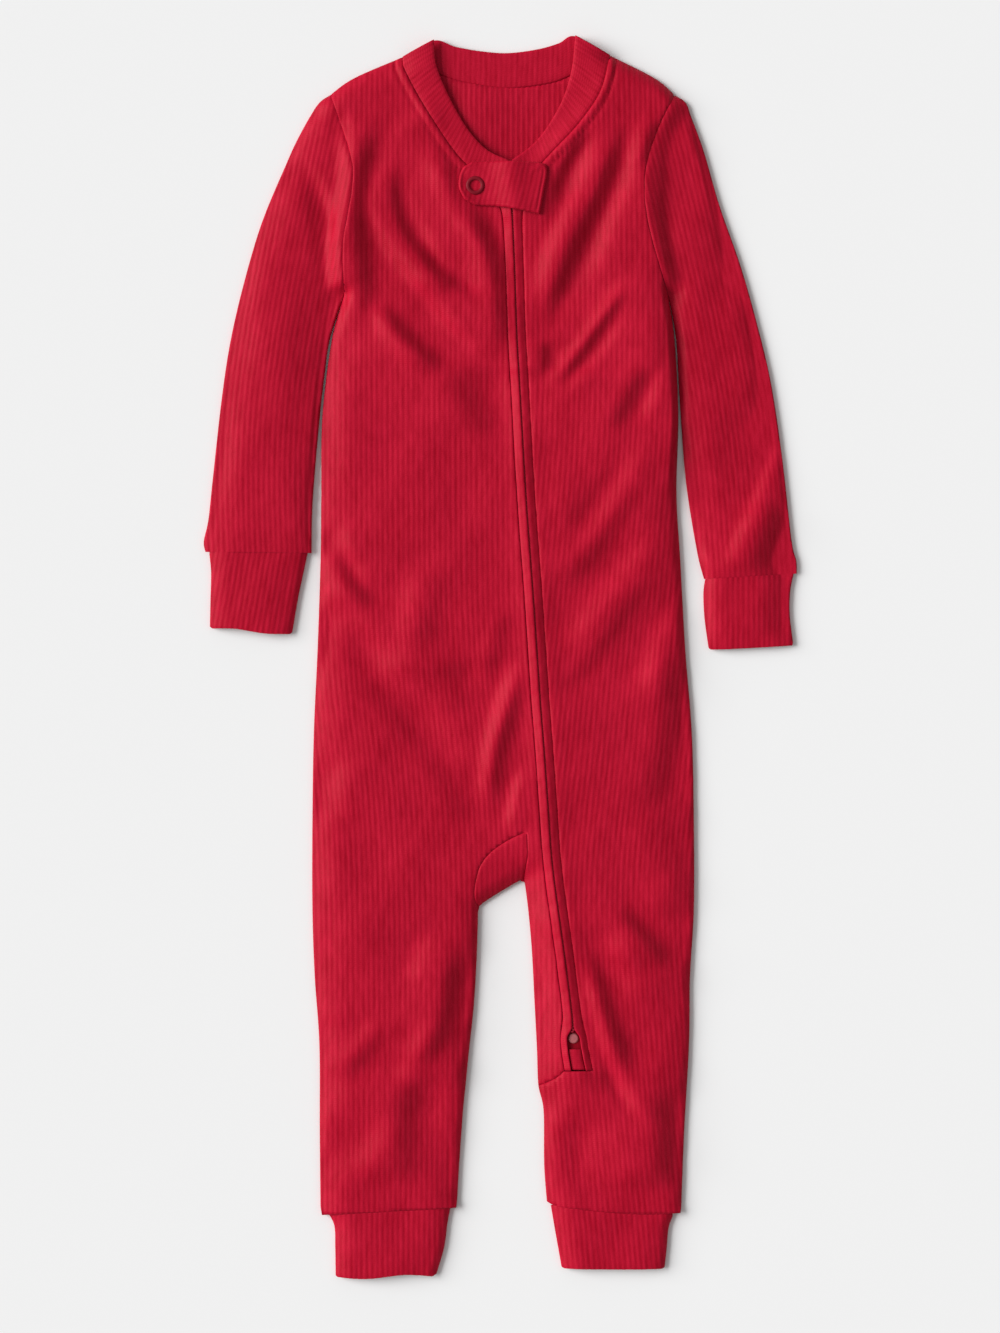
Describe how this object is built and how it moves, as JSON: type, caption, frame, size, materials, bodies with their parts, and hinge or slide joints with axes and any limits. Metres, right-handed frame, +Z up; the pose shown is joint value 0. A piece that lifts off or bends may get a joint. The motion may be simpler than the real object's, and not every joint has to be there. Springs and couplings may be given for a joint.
{
  "type": "onesie pajama",
  "caption": "Baby's one-piece pajama of fine rib knit laid flat, with long sleeves and legs, folded rib cuffs and collar, and a zip from the neck down one leg under a snap tab.",
  "frame": {"origin": "middle of the underside, on the surface that the garment lies on", "axes": "+Y from the feet to the neck, +X to the viewer's right, which is the wearer's left, +Z up from the surface out of the front"},
  "size_m": [0.3064, 0.6418, 0.0109],
  "materials": {
    "rib_cloth": "matte fine rib knit",
    "zip_tape": "matte woven tape with a nylon coil",
    "zip_metal": "satin enamel",
    "snap_enamel": "satin enamel"
  },
  "bodies": {
    "root": {"front_right": "rib_cloth", "front_left": "rib_cloth", "back_panel": "rib_cloth", "crotch_gusset": "rib_cloth", "sleeve_right": "rib_cloth", "sleeve_left": "rib_cloth", "sleeve_cuff_right": "rib_cloth", "sleeve_cuff_left": "rib_cloth", "leg_cuff_right": "rib_cloth", "leg_cuff_left": "rib_cloth", "collar_front_right": "rib_cloth", "collar_front_left": "rib_cloth", "collar_back": "rib_cloth", "zip_band_right": "rib_cloth", "zip_band_left": "rib_cloth", "zip_end_patch": "rib_cloth", "snap_tab": "rib_cloth", "zip_tape": "zip_tape", "zip_slider": "zip_metal", "zip_bottom_stop": "zip_metal", "snap_ring": "snap_enamel"}
  },
  "joints": []
}
